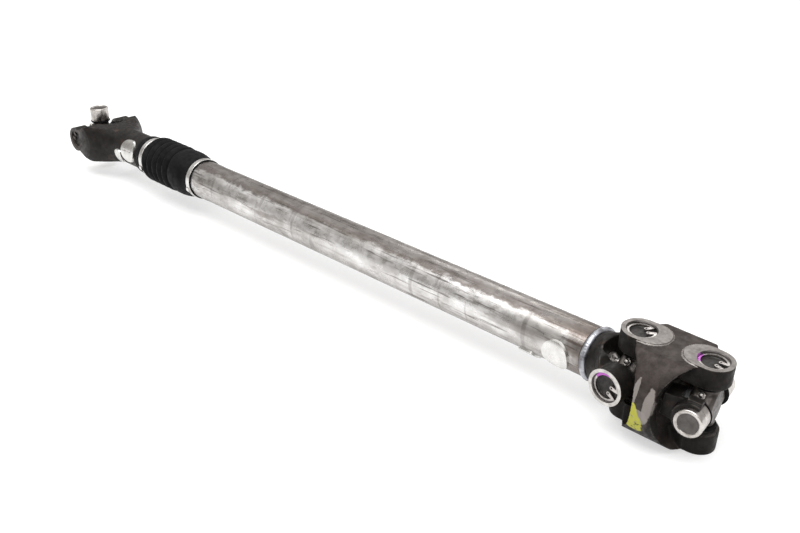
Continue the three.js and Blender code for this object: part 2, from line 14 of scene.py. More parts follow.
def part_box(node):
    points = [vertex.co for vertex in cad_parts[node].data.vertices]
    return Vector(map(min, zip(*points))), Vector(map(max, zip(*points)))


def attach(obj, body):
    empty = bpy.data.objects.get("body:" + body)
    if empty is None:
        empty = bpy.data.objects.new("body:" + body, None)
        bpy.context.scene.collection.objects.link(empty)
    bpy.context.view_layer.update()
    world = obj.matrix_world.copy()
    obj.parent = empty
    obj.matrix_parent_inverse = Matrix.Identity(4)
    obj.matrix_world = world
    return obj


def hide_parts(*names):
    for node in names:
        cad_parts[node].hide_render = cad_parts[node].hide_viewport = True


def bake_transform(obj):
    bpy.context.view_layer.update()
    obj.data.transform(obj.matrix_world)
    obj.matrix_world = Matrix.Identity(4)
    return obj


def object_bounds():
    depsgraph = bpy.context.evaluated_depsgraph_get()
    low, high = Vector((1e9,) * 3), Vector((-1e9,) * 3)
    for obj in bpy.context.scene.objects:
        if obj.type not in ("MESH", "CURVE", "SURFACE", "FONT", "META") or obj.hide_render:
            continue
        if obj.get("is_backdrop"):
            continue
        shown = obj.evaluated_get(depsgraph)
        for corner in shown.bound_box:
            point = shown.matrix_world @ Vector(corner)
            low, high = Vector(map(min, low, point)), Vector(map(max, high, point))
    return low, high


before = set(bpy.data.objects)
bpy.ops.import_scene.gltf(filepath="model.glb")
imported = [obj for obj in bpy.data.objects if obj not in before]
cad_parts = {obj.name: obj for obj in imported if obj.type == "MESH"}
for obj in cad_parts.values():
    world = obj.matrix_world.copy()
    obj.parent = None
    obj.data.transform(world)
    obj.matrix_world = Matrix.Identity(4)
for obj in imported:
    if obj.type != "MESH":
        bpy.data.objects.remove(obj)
cad_low, cad_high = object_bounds()

MM = 0.001

# ---------------- driving dimensions, in millimetres
SHAFT_LENGTH = 1000.0
CROSS_SPACING = 70.0
TUBE_RADIUS = 25.4
TUBE_WALL = 2.4
CAP_RADIUS = 13.5
CAP_FACE = 40.9
CAP_LENGTH = 19.0
EAR_FACE = 44.5
EAR_INNER = 24.2
EAR_RADIUS = 17.9
GAP = 0.3
TRUNNION_RADIUS = 8.6
COLLAR_RADIUS = 11.6
COLLAR_END = 19.0
HUB_RADIUS = 18.6
HUB_HALF_THICKNESS = 11.2
PIN_CLEARANCE_RADIUS = 10.5
SNAP_RING_START = CAP_FACE + GAP
SNAP_RING_END = SNAP_RING_START + 1.4
GROOVE_RADIUS = 15.1

LINK_RADIUS = 50.5
LINK_EAR_RADIUS = 18.6
LINK_LOWER_EAR_RADIUS = 17.0
LINK_TOP = 43.4
LINK_CAVITY_HALF_WIDTH = 37.0
ARCH_HALF_LENGTH = 25.6
ARCH_HALF_HEIGHT = 44.4

NECK_RADIUS = 25.0
NECK_START = 86.0
NECK_END = 172.0
SLEEVE_RADIUS = 20.5
SLEEVE_END = 206.0
SLIP_THROAT = 48.0  # joint centre to the bottom of the gap between the ears
TUBE_YOKE_THROAT = 27.5
EAR_CORNER = 0.42  # where a fork's ears stop spreading, as a part of the way to its neck
SPLINE_TEETH = 16
SPLINE_ROOT = 13.6
SPLINE_TIP = 15.2
TUBE_START = 262.0
BOOT_START = 146.0
BOOT_END = 298.0
SMALL_CLAMP_START = 159.0
LARGE_CLAMP_START = 283.0
CLAMP_WIDTH = 7.6
FIRST_FOLD = 170.0
FOLD_PITCH = 13.2
FOLD_COUNT = 5
FOLD_ROOT = 27.3
FOLD_DEPTH = 5.0

FRONT_WELD = 41.0  # inner cross to the middle of the weld between yoke and tube
WELD_HALF_GAP = 3.8
TUBE_YOKE_NECK = FRONT_WELD - WELD_HALF_GAP
SPIGOT_RADIUS = TUBE_RADIUS - TUBE_WALL - GAP
BALL_OFFSET = 35.0
BALL_RADIUS = 10.0
PIN_RADIUS = 5.0
PIN_SHANK_RADIUS = 8.0
SOCKET_BORE = 10.8
SOCKET_RADIUS = 15.0
SOCKET_MOUTH = -42.0
SOCKET_BACK = -16.0
STRAP_FACE = 28.0  # outer faces of the centring yoke's arms
SADDLE_FACE = 36.0  # outer faces of its saddles
SADDLE_RADIUS = 17.3
SADDLE_END = 5.0  # the saddles are open beyond here, towards the transfer case
BRIDGE = -29.0  # where the two arms meet

FINE = 96  # sides of a round piece
SHARP_ANGLE = math.radians(32)
RUBBED_EDGE = (0.51, 0.56)  # pointiness at which a forging's edges begin to shine, and shine fully


# ---------------- joint frames
def centre(node):
    low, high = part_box(node)
    return (low + high) / 2


DROOP = math.radians(5)
SWING = math.radians(6.5)

axle_frame = Matrix.Translation(centre("axle_cross"))
tube_frame = Matrix.Translation(centre("inner_cross"))
inner_cross_frame = tube_frame @ Matrix.Rotation(DROOP, 4, "Y")
link_frame = inner_cross_frame @ Matrix.Rotation(SWING, 4, "Z")
link_outer_frame = link_frame @ Matrix.Translation((CROSS_SPACING * MM, 0, 0))
outer_cross_frame = link_outer_frame @ Matrix.Rotation(SWING, 4, "Z")
output_frame = outer_cross_frame @ Matrix.Rotation(DROOP, 4, "Y")


# ---------------- shapes
def shape_from(bm, name="shape"):
    bmesh.ops.recalc_face_normals(bm, faces=bm.faces)
    mesh = bpy.data.meshes.new(name)
    bm.to_mesh(mesh)
    bm.free()
    shape = bpy.data.objects.new(name, mesh)
    bpy.context.scene.collection.objects.link(shape)
    return shape


def skin(rings, closed=True):
    """Joins rings of points into one surface; a ring of one point closes to that point."""
    bm = bmesh.new()
    rows = [[bm.verts.new(point) for point in ring] for ring in rings]
    pairs = list(zip(rows, rows[1:] + rows[:1])) if closed else list(zip(rows, rows[1:]))
    for first, second in pairs:
        steps = max(len(first), len(second))
        if steps == 1:
            continue
        for k in range(steps):
            corners = [
                first[k % len(first)],
                first[(k + 1) % len(first)],
                second[(k + 1) % len(second)],
                second[k % len(second)],
            ]
            face = list(dict.fromkeys(corners))
            bm.faces.new(face)
    if not closed:
        bm.faces.new(rows[0])
        bm.faces.new(rows[-1])
    return shape_from(bm)


def lathe(outline, steps=FINE):
    """A closed (x, radius) outline turned about X."""
    rings = []
    for x, radius in outline:
        if radius == 0:
            rings.append([(x, 0, 0)])
            continue
        angles = [2 * math.pi * k / steps for k in range(steps)]
        rings.append([(x, radius * math.cos(a), radius * math.sin(a)) for a in angles])
    return skin(rings)


def prism(outline, low, high, axis):
    """An outline drawn across an axis, from one place to another along it."""
    order = {"x": (2, 0, 1), "y": (0, 2, 1), "z": (0, 1, 2)}[axis]

    def point(pair, along):
        given = (pair[0], pair[1], along)
        return tuple(given[k] for k in order)

    return skin([[point(p, low) for p in outline], [point(p, high) for p in outline]], closed=False)


def turned(shape, matrix):
    shape.data.transform(matrix)
    return shape


def along(axis, shape):
    """Turns a shape drawn along X to lie along another axis; "-y" and "-z" face the other way."""
    quarter = math.pi / 2
    turns = {
        "x": Matrix.Identity(4),
        "y": Matrix.Rotation(quarter, 4, "Z"),
        "-y": Matrix.Rotation(-quarter, 4, "Z"),
        "z": Matrix.Rotation(-quarter, 4, "Y"),
        "-z": Matrix.Rotation(quarter, 4, "Y"),
    }
    return turned(shape, turns[axis])


def moved(shape, x=0, y=0, z=0):
    return turned(shape, Matrix.Translation((x, y, z)))


def rod(axis, radius, low, high, steps=FINE):
    return along(axis, lathe([(low, 0), (low, radius), (high, radius), (high, 0)], steps))


def box(size, place=(0, 0, 0)):
    half_x, half_y = size[0] / 2, size[1] / 2
    corners = [(-half_x, -half_y), (half_x, -half_y), (half_x, half_y), (-half_x, half_y)]
    return moved(prism(corners, -size[2] / 2, size[2] / 2, "z"), *place)


def applied(shape):
    """Turns a shape's modifiers into its mesh."""
    depsgraph = bpy.context.evaluated_depsgraph_get()
    mesh = bpy.data.meshes.new_from_object(shape.evaluated_get(depsgraph))
    shape.modifiers.clear()
    shape.data = mesh
    return shape


def combine(operation, base, tools):
    for tool in tools:
        modifier = base.modifiers.new("combine", "BOOLEAN")
        modifier.operation = operation
        modifier.solver = "MANIFOLD"
        modifier.object = tool
    applied(base)
    for tool in tools:
        bpy.data.objects.remove(tool)
    return base


def cut(base, *tools):
    return combine("DIFFERENCE", base, tools)


def join(base, *tools):
    return combine("UNION", base, tools)


def common(base, *tools):
    return combine("INTERSECT", base, tools)


def forge(shape, voxel, passes):
    """Melts the edges of a shape, as a forging die leaves them."""
    remesh = shape.modifiers.new("remesh", "REMESH")
    remesh.mode = "VOXEL"
    remesh.voxel_size = voxel
    smooth = shape.modifiers.new("smooth", "SMOOTH")
    smooth.factor = 0.5
    smooth.iterations = passes
    return applied(shape)


def arc(middle_x, middle_y, radius, start, end, steps):
    angles = [math.radians(start + (end - start) * k / steps) for k in range(steps + 1)]
    return [(middle_x + radius * math.cos(a), middle_y + radius * math.sin(a)) for a in angles]


def ellipse(middle_x, half_x, half_y):
    angles = [2 * math.pi * k / FINE for k in range(FINE)]
    return [(middle_x + half_x * math.cos(a), half_y * math.sin(a)) for a in angles]


def bezier(start, control_1, control_2, end):
    points = []
    steps = 16
    for k in range(1, steps + 1):
        t = k / steps
        weights = ((1 - t) ** 3, 3 * (1 - t) ** 2 * t, 3 * (1 - t) * t**2, t**3)
        corners = (start, control_1, control_2, end)
        points.append(tuple(sum(w * c[i] for w, c in zip(weights, corners)) for i in (0, 1)))
    return points


# ---------------- materials
class Paint:
    """A node material under construction."""

    def __init__(self, name):
        self.material = bpy.data.materials.new(name)
        self.material.use_nodes = True
        self.tree = self.material.node_tree
        self.shader = self.tree.nodes["Principled BSDF"]
        self.place = self.node("ShaderNodeTexCoord").outputs["Object"]

    def node(self, kind, **settings):
        made = self.tree.nodes.new(kind)
        for key, value in settings.items():
            setattr(made, key, value)
        return made

    def feed(self, socket, value):
        if isinstance(value, bpy.types.NodeSocket):
            self.tree.links.new(value, socket)
        else:
            socket.default_value = value

    def noise(self, scale, detail=4.0, rough=0.55, stretch=(1, 1, 1), offset=(0, 0, 0)):
        mapping = self.node("ShaderNodeMapping")
        self.feed(mapping.inputs["Vector"], self.place)
        mapping.inputs["Scale"].default_value = stretch
        mapping.inputs["Location"].default_value = offset
        noise = self.node("ShaderNodeTexNoise")
        self.feed(noise.inputs["Vector"], mapping.outputs["Vector"])
        noise.inputs["Scale"].default_value = scale
        noise.inputs["Detail"].default_value = detail
        noise.inputs["Roughness"].default_value = rough
        return noise.outputs["Fac"]

    def axis(self, name):
        split = self.node("ShaderNodeSeparateXYZ")
        self.feed(split.inputs[0], self.place)
        return split.outputs[name]

    def math(self, operation, *values):
        made = self.node("ShaderNodeMath", operation=operation)
        for socket, value in zip(made.inputs, values):
            self.feed(socket, value)
        return made.outputs[0]

    def span(self, value, low, high, to_low=0.0, to_high=1.0):
        """Carries low..high over to to_low..to_high, smoothly and no further."""
        made = self.node("ShaderNodeMapRange", interpolation_type="SMOOTHSTEP")
        self.feed(made.inputs["Value"], value)
        made.inputs["From Min"].default_value = low
        made.inputs["From Max"].default_value = high
        made.inputs["To Min"].default_value = to_low
        made.inputs["To Max"].default_value = to_high
        return made.outputs["Result"]

    def ramp(self, value, *stops):
        made = self.node("ShaderNodeValToRGB")
        self.feed(made.inputs["Fac"], value)
        points = made.color_ramp.elements
        while len(points) < len(stops):
            points.new(0.5)
        for point, (position, colour) in zip(points, stops):
            point.position = position
            point.color = (*colour, 1)
        return made.outputs["Color"]

    def mix(self, factor, first, second):
        made = self.node("ShaderNodeMix", data_type="RGBA")
        self.feed(made.inputs["Factor"], factor)
        for socket, value in zip((made.inputs[6], made.inputs[7]), (first, second)):
            self.feed(socket, (*value, 1) if isinstance(value, tuple) else value)
        return made.outputs[2]

    def blot(self, middle, half_sizes, wobble, scale, tilt=0.0):
        """1 inside a ragged ellipsoid about a point (all in millimetres), 0 outside."""
        mapping = self.node("ShaderNodeMapping", vector_type="TEXTURE")
        self.feed(mapping.inputs["Vector"], self.place)
        mapping.inputs["Location"].default_value = [v * MM for v in middle]
        mapping.inputs["Rotation"].default_value = (0, math.radians(tilt), 0)
        mapping.inputs["Scale"].default_value = [v * MM for v in half_sizes]
        length = self.node("ShaderNodeVectorMath", operation="LENGTH")
        self.feed(length.inputs[0], mapping.outputs["Vector"])
        ragged = self.math("MULTIPLY_ADD", self.noise(scale, 3.0), wobble, length.outputs["Value"])
        return self.span(ragged, 1.08 + wobble / 2, 0.92 + wobble / 2)

    def patches(self, factor, strength, under, colour):
        """Lays a colour over another where the factor is 1, no thicker than the strength."""
        return self.mix(self.math("MULTIPLY", factor, strength), under, colour)

    def edges(self):
        """1 on outward edges, where handling rubs a forging bright."""
        geometry = self.node("ShaderNodeNewGeometry")
        return self.span(geometry.outputs["Pointiness"], *RUBBED_EDGE)

    def bump(self, height, strength, distance):
        made = self.node("ShaderNodeBump")
        self.feed(made.inputs["Height"], height)
        made.inputs["Strength"].default_value = strength
        made.inputs["Distance"].default_value = distance
        return made.outputs["Normal"]

    def done(self, colour, roughness, metallic, normal=None):
        self.feed(self.shader.inputs["Base Color"], colour)
        self.feed(self.shader.inputs["Roughness"], roughness)
        self.feed(self.shader.inputs["Metallic"], metallic)
        if normal is not None:
            self.feed(self.shader.inputs["Normal"], normal)
        return self.material


def tube_material():
    """Bare drawn tube: pale steel with brown stains, a painted dark reflection along its top with a darker
    painted edge, a weathered underside, lengthwise streaks and scratches, hoop marks, and soot towards the
    weld."""
    paint = Paint("tube_bare_steel")
    cloudy = paint.noise(24, 8, 0.66, stretch=(0.5, 1, 1))
    steel = paint.ramp(
        cloudy,
        (0.30, (0.30, 0.28, 0.265)),
        (0.44, (0.51, 0.495, 0.48)),
        (0.60, (0.76, 0.75, 0.74)),
    )
    stain = paint.span(paint.noise(46, 9, 0.74, stretch=(0.3, 1, 1), offset=(3, 1, 2)), 0.54, 0.64)
    steel = paint.patches(stain, 0.55, steel, (0.22, 0.19, 0.17))
    # Painted reflection: the colour is darkened along the top of the tube, standing for the darker room
    # reflected there, with a ragged edge.
    wander = paint.noise(70, 8, 0.7, stretch=(0.5, 1, 1))
    ragged = paint.math("MULTIPLY_ADD", wander, 14 * MM, paint.axis("Z"))
    top = paint.span(ragged, 26 * MM, 29 * MM)
    steel = paint.patches(top, 0.76, steel, (0.23, 0.205, 0.19))
    under = paint.span(ragged, 3 * MM, -9 * MM)
    steel = paint.patches(under, 0.6, steel, (0.20, 0.18, 0.165))
    # Painted reflection: a still darker band along the edge of that painted top reflection.
    reflection_edge = paint.math("MULTIPLY", top, paint.span(ragged, 33 * MM, 28 * MM))
    steel = paint.patches(reflection_edge, 0.7, steel, (0.10, 0.08, 0.07))
    streak = paint.span(paint.noise(120, 4, 0.6, stretch=(0.05, 1, 1), offset=(2, 5, 1)), 0.50, 0.64)
    steel = paint.patches(streak, 0.45, steel, (0.17, 0.145, 0.13))
    scratch = paint.span(paint.noise(300, 3, 0.6, stretch=(0.04, 1, 1)), 0.58, 0.64)
    steel = paint.patches(scratch, 0.7, steel, (0.09, 0.075, 0.065))
    hoop = paint.span(paint.noise(75, 2, 0.5, stretch=(1, 0.12, 0.12), offset=(1, 4, 2)), 0.63, 0.68)
    steel = paint.patches(hoop, 0.35, steel, (0.13, 0.11, 0.10))
    sooty = paint.math("MULTIPLY_ADD", paint.noise(60, 7, 0.7, offset=(4, 4, 4)), 90 * MM, paint.axis("X"))
    burnt = paint.span(sooty, -40 * MM, 4 * MM)
    steel = paint.patches(burnt, 0.75, steel, (0.12, 0.092, 0.078))
    roughness = paint.span(paint.noise(80, 7, 0.7), 0.38, 0.62, 0.24, 0.46)
    normal = paint.bump(paint.noise(420, 5, 0.6, stretch=(0.08, 1, 1)), 0.3, 0.3 * MM)
    return paint.done(steel, roughness, 0.95, normal)


def forging_paint(name, dark, light, rub, specular):
    """Begins a scaled forging skin, with edges rubbed brighter; gives the paint and the colour so far."""
    paint = Paint(name)
    paint.shader.inputs["Specular IOR Level"].default_value = specular
    cloudy = paint.noise(75, 6, 0.6)
    skin_colour = paint.ramp(cloudy, (0.32, dark), (0.68, light))
    rust = paint.span(paint.noise(55, 5, 0.65, offset=(5, 2, 7)), 0.56, 0.72)
    skin_colour = paint.patches(rust, 0.4, skin_colour, (0.085, 0.045, 0.03))
    rubbed = paint.math("MULTIPLY", paint.edges(), paint.span(paint.noise(160, 4), 0.38, 0.6))
    return paint, paint.mix(rubbed, skin_colour, rub)


def forging_done(paint, colour, metallic):
    """Finishes a forging skin with its uneven shine and fine cast grain."""
    rough = paint.span(paint.noise(190, 4), 0.35, 0.65, 0.38, 0.6)
    grain = paint.math("MULTIPLY_ADD", paint.noise(900, 3), 0.35, paint.noise(260, 4))
    return paint.done(colour, rough, metallic, paint.bump(grain, 0.35, 0.5 * MM))


def dark_forging():
    """The forks' near-black skin."""
    darkest, lightest, rub = (0.007, 0.006, 0.0055), (0.021, 0.018, 0.016), (0.075, 0.068, 0.062)
    paint, colour = forging_paint("dark_forging", darkest, lightest, rub, 0.2)
    return forging_done(paint, colour, 0.3)


def link_forging():
    """The link yoke's skin: near black, kept black in its arches by a painted shade, with brown-grey dust on
    its near web, upward faces lightened partly by dust and partly by painted top light, flash ground off the
    web and a dab of yellow paint."""
    darkest, lightest, rub = (0.006, 0.0052, 0.0047), (0.018, 0.0155, 0.014), (0.075, 0.068, 0.062)
    paint, colour = forging_paint("link_forging", darkest, lightest, rub, 0.1)
    facing = paint.node("ShaderNodeSeparateXYZ")
    paint.feed(facing.inputs[0], paint.node("ShaderNodeTexCoord").outputs["Normal"])
    # Painted top light: faces turned up take the lighter dust colour, partly dust and partly the light from
    # above painted in.
    upward = paint.span(facing.outputs["Z"], 0.25, 0.75)
    web = paint.blot((31, -46, 12), (14.5, 18, 44), 0.2, 90)
    dust_and_top_light = paint.math("MAXIMUM", upward, web)
    # Painted shade: the arches round the crosses keep the black skin, standing for the shade inside them.
    arch = (ARCH_HALF_LENGTH * 1.06, 400, ARCH_HALF_HEIGHT * 0.97)
    in_arch = [paint.blot((x, 0, 0), arch, 0, 90) for x in (0, CROSS_SPACING)]
    arch_shade_cut = paint.math("MULTIPLY_ADD", paint.math("MAXIMUM", *in_arch), -0.8, 1.0)
    dust_and_top_light = paint.math("MULTIPLY", dust_and_top_light, arch_shade_cut)
    # This colour serves both the real dust on the web and the painted top light.
    dust = paint.ramp(paint.noise(85, 6, 0.62), (0.34, (0.029, 0.023, 0.021)), (0.66, (0.064, 0.053, 0.048)))
    colour = paint.patches(dust_and_top_light, 0.9, colour, dust)
    ground = [
        paint.blot((26.0, -48, 11), (2.6, 12, 16), 0.5, 220, 4),
        paint.blot((40.5, -48, 5), (4.6, 12, 17), 0.5, 220, 3),
        paint.blot((34, -49, -9), (8, 12, 8), 0.6, 220),
    ]
    for mark in ground:
        colour = paint.patches(mark, 0.85, colour, (0.25, 0.225, 0.21))
    for middle, size in (((27, -47, -17), (10, 16, 12)), ((27.5, -50, -4), (4.2, 8, 7))):
        daub = paint.blot(middle, size, 0.9, 150)
        thin = paint.span(paint.noise(330, 3), 0.34, 0.44)
        colour = paint.patches(daub, thin, colour, (0.40, 0.39, 0.06))
    return forging_done(paint, colour, 0.2)


def machined(name, light, dark, roughness, scale, metallic=1.0, grain=700, dye=None):
    """Turned or ground steel: faint tool lines, fingerprints of oil and maybe violet layout dye."""
    paint = Paint(name)
    colour = paint.ramp(paint.noise(scale, 6, 0.65), (0.3, dark), (0.62, light))
    if dye:
        colour = paint.mix(paint.blot(dye, (8, 6, 6), 0.5, 260), colour, (0.42, 0.12, 0.44))
    rough = paint.span(paint.noise(scale * 1.7, 5), 0.35, 0.65, *roughness)
    normal = paint.bump(paint.noise(grain, 3), 0.12, 0.12 * MM)
    return paint.done(colour, rough, metallic, normal)


def dark_bore(name, dye_middle):
    """A dark-coloured bearing bore with a smear of violet layout dye."""
    paint = Paint(name)
    colour = paint.ramp(paint.noise(120, 5), (0.35, (0.03, 0.026, 0.024)), (0.7, (0.10, 0.09, 0.085)))
    dye = paint.blot(dye_middle, (8.5, 6.5, 8.5), 0.5, 260)
    colour = paint.mix(dye, colour, (0.30, 0.07, 0.33))
    rough = paint.span(paint.noise(200, 4), 0.35, 0.65, 0.3, 0.5)
    return paint.done(colour, rough, 0.4, paint.bump(paint.noise(500, 3), 0.15, 0.2 * MM))


def rubber(name):
    """Matt black rubber with a little road dust and old grease."""
    paint = Paint(name)
    black, dusty = (0.003, 0.003, 0.0034), (0.0105, 0.010, 0.0105)
    colour = paint.ramp(paint.noise(60, 6, 0.65), (0.35, black), (0.75, dusty))
    rough = paint.span(paint.noise(150, 4), 0.35, 0.65, 0.48, 0.72)
    normal = paint.bump(paint.noise(600, 4), 0.2, 0.25 * MM)
    paint.shader.inputs["Specular IOR Level"].default_value = 0.08
    return paint.done(colour, rough, 0.0, normal)


def weld_material():
    """Bluish grey weld metal."""
    paint = Paint("weld_metal")
    colour = paint.ramp(
        paint.noise(110, 5),
        (0.36, (0.15, 0.145, 0.155)),
        (0.5, (0.31, 0.315, 0.34)),
        (0.7, (0.50, 0.51, 0.545)),
    )
    rough = paint.span(paint.noise(200, 4), 0.35, 0.65, 0.28, 0.46)
    return paint.done(colour, rough, 0.9, paint.bump(paint.noise(380, 4), 0.3, 0.4 * MM))


SPRING_TONES = ((0.55, 0.52, 0.50), (0.22, 0.20, 0.19), (0.26, 0.45), 200)

TUBE_STEEL = tube_material()
DARK_FORGING = dark_forging()
LINK_FORGING = link_forging()
PAD_STEEL = machined("machined_pad", (0.27, 0.25, 0.235), (0.15, 0.135, 0.125), (0.36, 0.54), 160, 0.8)
RIM_STEEL = machined("machined_rim", (0.60, 0.58, 0.56), (0.36, 0.34, 0.32), (0.28, 0.44), 160)
GROUND_STEEL = machined("ground_steel", (0.60, 0.57, 0.545), (0.30, 0.275, 0.255), (0.24, 0.42), 130)
CROSS_STEEL = machined("cross_forging", (0.10, 0.088, 0.08), (0.03, 0.025, 0.022), (0.32, 0.5), 90, 0.7, 500)
CAP_STEEL = machined("cap_steel", (0.62, 0.59, 0.56), (0.28, 0.255, 0.24), (0.2, 0.38), 60)
CAP_RECESS = machined("cap_recess", (0.10, 0.091, 0.086), (0.05, 0.044, 0.041), (0.4, 0.6), 120, 0.5)
# Caps in the ears' bores: coloured near black all over.
DARK_CAP_STEEL = machined("dark_cap_steel", (0.026, 0.022, 0.020), (0.005, 0.0045, 0.004), (0.45, 0.65), 180, 0.3)
SPRING_STEEL = machined("spring_steel", *SPRING_TONES)
DYED_NEAR_RING = machined("spring_steel_dyed_near", *SPRING_TONES, dye=(-5, -42, 11))
DYED_OUTER_RING = machined("spring_steel_dyed_outer", *SPRING_TONES, dye=(-12, -2, 42))
PLATE_STEEL = machined("plated_steel", (0.74, 0.73, 0.71), (0.54, 0.525, 0.505), (0.24, 0.38), 50)
FITTING_STEEL = machined("fitting_steel", (0.36, 0.34, 0.32), (0.16, 0.145, 0.135), (0.3, 0.45), 150)
WELD_METAL = weld_material()
BOOT_RUBBER = rubber("boot_rubber")
SEAL_RUBBER = rubber("seal_rubber")
TUBE_BORE = dark_bore("tube_yoke_bore", (-1.5, -41.5, 14.5))
LINK_BORE = dark_bore("link_yoke_bore", (CROSS_SPACING - 13, -4.5, 43.4))


# ---------------- finishing a piece
def finish_piece(shape, node, joint_frame, body, slot, *materials):
    """Sets a finished shape down on its joint, in metres, on its body, standing for its CAD node."""
    shape.name = f"{node}_fine"
    shape.data.name = shape.name
    shape.data.transform(Matrix.Scale(MM, 4))
    shape.matrix_world = joint_frame
    chosen = [face.material_index for face in shape.data.polygons]
    shape.data.materials.clear()
    for material in materials:
        shape.data.materials.append(material)
    shape.data.polygons.foreach_set("material_index", chosen)
    shape.data.shade_smooth()
    shape.data.set_sharp_from_angle(angle=SHARP_ANGLE)
    if body is not None:
        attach(shape, body)
    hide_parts(node)
    return shape


def paint_faces(shape, index, where):
    """Gives the faces (in millimetres, before finishing) that `where` picks another material."""
    for face in shape.data.polygons:
        if where(face.center, face.normal):
            face.material_index = index
    return shape


# ---------------- bearing caps, rings, seals, crosses
def bearing_cap():
    """Drawn steel cup with a rolled rim and a shallow pressed-in face."""
    rim, recess = 1.4, 0.7
    face = CAP_FACE - recess
    outer = [(face, 0), (face, CAP_RADIUS - 3.6), (CAP_FACE - 0.15, CAP_RADIUS - 2.9)]
    outer += arc(CAP_FACE - rim, CAP_RADIUS - rim, rim, 0, 90, 6)
    start = CAP_FACE - CAP_LENGTH
    bore = TRUNNION_RADIUS + 2.4
    floor = CAP_FACE - 2.4
    inner = [(start + 0.6, CAP_RADIUS), (start, CAP_RADIUS - 0.6), (start, bore), (floor, bore), (floor, 0)]
    return paint_faces(lathe(outer + inner), 1, in_recess)


def in_recess(place, normal):
    """Picks the pressed-in disc in a cap's outer face."""
    return place.x > CAP_FACE - 1.2 and place.yz.length < CAP_RADIUS - 3.3


def add_cap(prefix, label, joint_frame, body, bare):
    """A bare cap has bright sides; one in an ear's bore is coloured near black all over."""
    cap = along(ROUND_THE_CROSS[label], bearing_cap())
    steels = (CAP_STEEL, CAP_RECESS) if bare else (DARK_CAP_STEEL, DARK_CAP_STEEL)
    finish_piece(cap, f"{prefix}_cap_{label}", joint_frame, body, "cap_steel", *steels)


def snap_ring(turn):
    """Flat open spring ring with two drilled lugs turned inwards."""
    outer, width, half_gap = GROOVE_RADIUS - GAP, 3.4, 26
    lug_place, lug_apart, lug_radius, hole_radius = 5.0, 3.6, 2.0, 0.9
    outline = arc(0, 0, outer, half_gap, 360 - half_gap, 64)
    outline += arc(0, 0, outer - width, 360 - half_gap, half_gap, 64)
    body = prism(outline, SNAP_RING_START, SNAP_RING_END, "x")
    lugs = []
    for side in (-1, 1):
        lug = arc(lug_place, side * lug_apart, lug_radius, 0, 360, 24)[:-1]
        lugs.append(prism(lug, SNAP_RING_START, SNAP_RING_END, "x"))
        lug_start, lug_end = lug_apart - lug_radius, lug_apart + lug_radius
        arm = [(lug_place, lug_start), (12.4, 3.6), (13.2, 6.4), (lug_place, lug_end)]
        lugs.append(prism([(y, side * z) for y, z in arm], SNAP_RING_START, SNAP_RING_END, "x"))
    join(body, *lugs)
    for side in (-1, 1):
        hole = arc(lug_place, side * lug_apart, hole_radius, 0, 360, 16)[:-1]
        cut(body, prism(hole, SNAP_RING_START - 2, SNAP_RING_END + 2, "x"))
    return turned(body, Matrix.Rotation(math.radians(turn), 4, "X"))


def add_snap_ring(prefix, label, joint_frame, body, turn):
    node = f"{prefix}_snap_ring_{label}"
    ring = along(ROUND_THE_CROSS[label], snap_ring(turn))
    steel = RING_STEELS.get(node, SPRING_STEEL)
    finish_piece(ring, node, joint_frame, body, "spring_steel", steel)


def seal():
    """Lip seal: two rubber ribs round the collar, against the cap's mouth."""
    outer, inner = CAP_RADIUS + 0.9, TRUNNION_RADIUS + GAP
    start, end = COLLAR_END + GAP, CAP_FACE - CAP_LENGTH - GAP
    middle = (start + end) / 2
    first_rib = [(start, inner), (start, outer - 1.4), (start + 0.3, outer - 0.9)]
    valley = [(middle - 0.25, outer - 0.7), (middle, outer - 1.5), (middle + 0.25, outer - 0.2)]
    second_rib = [(end - 0.3, outer), (end, outer - 0.4), (end, inner)]
    return lathe(first_rib + valley + second_rib)


def ear_bore():
    """The tool that bores one ear: cap bore, snap-ring groove and a chamfered mouth."""
    chamfer, radius, play = 0.9, CAP_RADIUS + 0.15, 0.15
    groove_start, groove_end = SNAP_RING_START - play, SNAP_RING_END + play
    outside = EAR_FACE + 2
    bore = [(EAR_INNER - 9, 0), (EAR_INNER - 9, radius), (groove_start, radius)]
    groove = [(groove_start, GROOVE_RADIUS), (groove_end, GROOVE_RADIUS), (groove_end, radius)]
    mouth = [(EAR_FACE - chamfer, radius), (outside, radius + chamfer + 2), (outside, 0)]
    return lathe(bore + groove + mouth)


def ear_bores(axis):
    return [along(direction, ear_bore()) for direction in (axis, "-" + axis)]


def cross(has_pin_hole):
    """Forged hub and four collars, with ground trunnions."""
    side, slope = HUB_HALF_THICKNESS, 3
    hub = lathe([
        (-side, 0), (-side, HUB_RADIUS - slope), (slope - side, HUB_RADIUS),
        (side - slope, HUB_RADIUS), (side, HUB_RADIUS - slope), (side, 0),
    ], 64)
    body = join(hub, *[rod(axis, COLLAR_RADIUS, -COLLAR_END, COLLAR_END, 64) for axis in ("y", "z")])
    forge(body, 0.8, 6)
    end = CAP_FACE - 2.7
    trunnion = [(-end, 0), (-end, TRUNNION_RADIUS - 0.8), (-end + 0.8, TRUNNION_RADIUS)]
    trunnion += [(-x, r) for x, r in reversed(trunnion)]
    join(body, along("y", lathe(trunnion, 64)), along("z", lathe(trunnion, 64)))
    tools = [turned(rod("z", 2.6, 13.5, 30, 32), FITTING_TURN)]
    if has_pin_hole:
        tools.append(rod("x", PIN_CLEARANCE_RADIUS, -20, 20))
    return cut(body, *tools)


FITTING_TURN = Matrix.Rotation(math.radians(45), 4, "X")  # the fitting leaves the hub between two trunnions


def grease_fitting():
    """Hexagon base, necked body and a ball-headed nipple."""
    stem = lathe([
        (13.8, 0), (13.8, 2.2), (20.3, 2.2), (20.4, 2.9), (22.1, 2.9), (22.3, 2.0), (22.9, 1.8),
        (23.3, 2.3), (24.1, 2.6), (24.8, 2.1), (25.3, 1.3), (25.4, 0.7), (25.0, 0.5), (25.0, 0),
    ], 32)
    hexagon = prism(arc(0, 0, 3.6, 0, 360, 6)[:-1], 20.5, 22.2, "x")
    return turned(along("z", join(stem, hexagon)), FITTING_TURN)


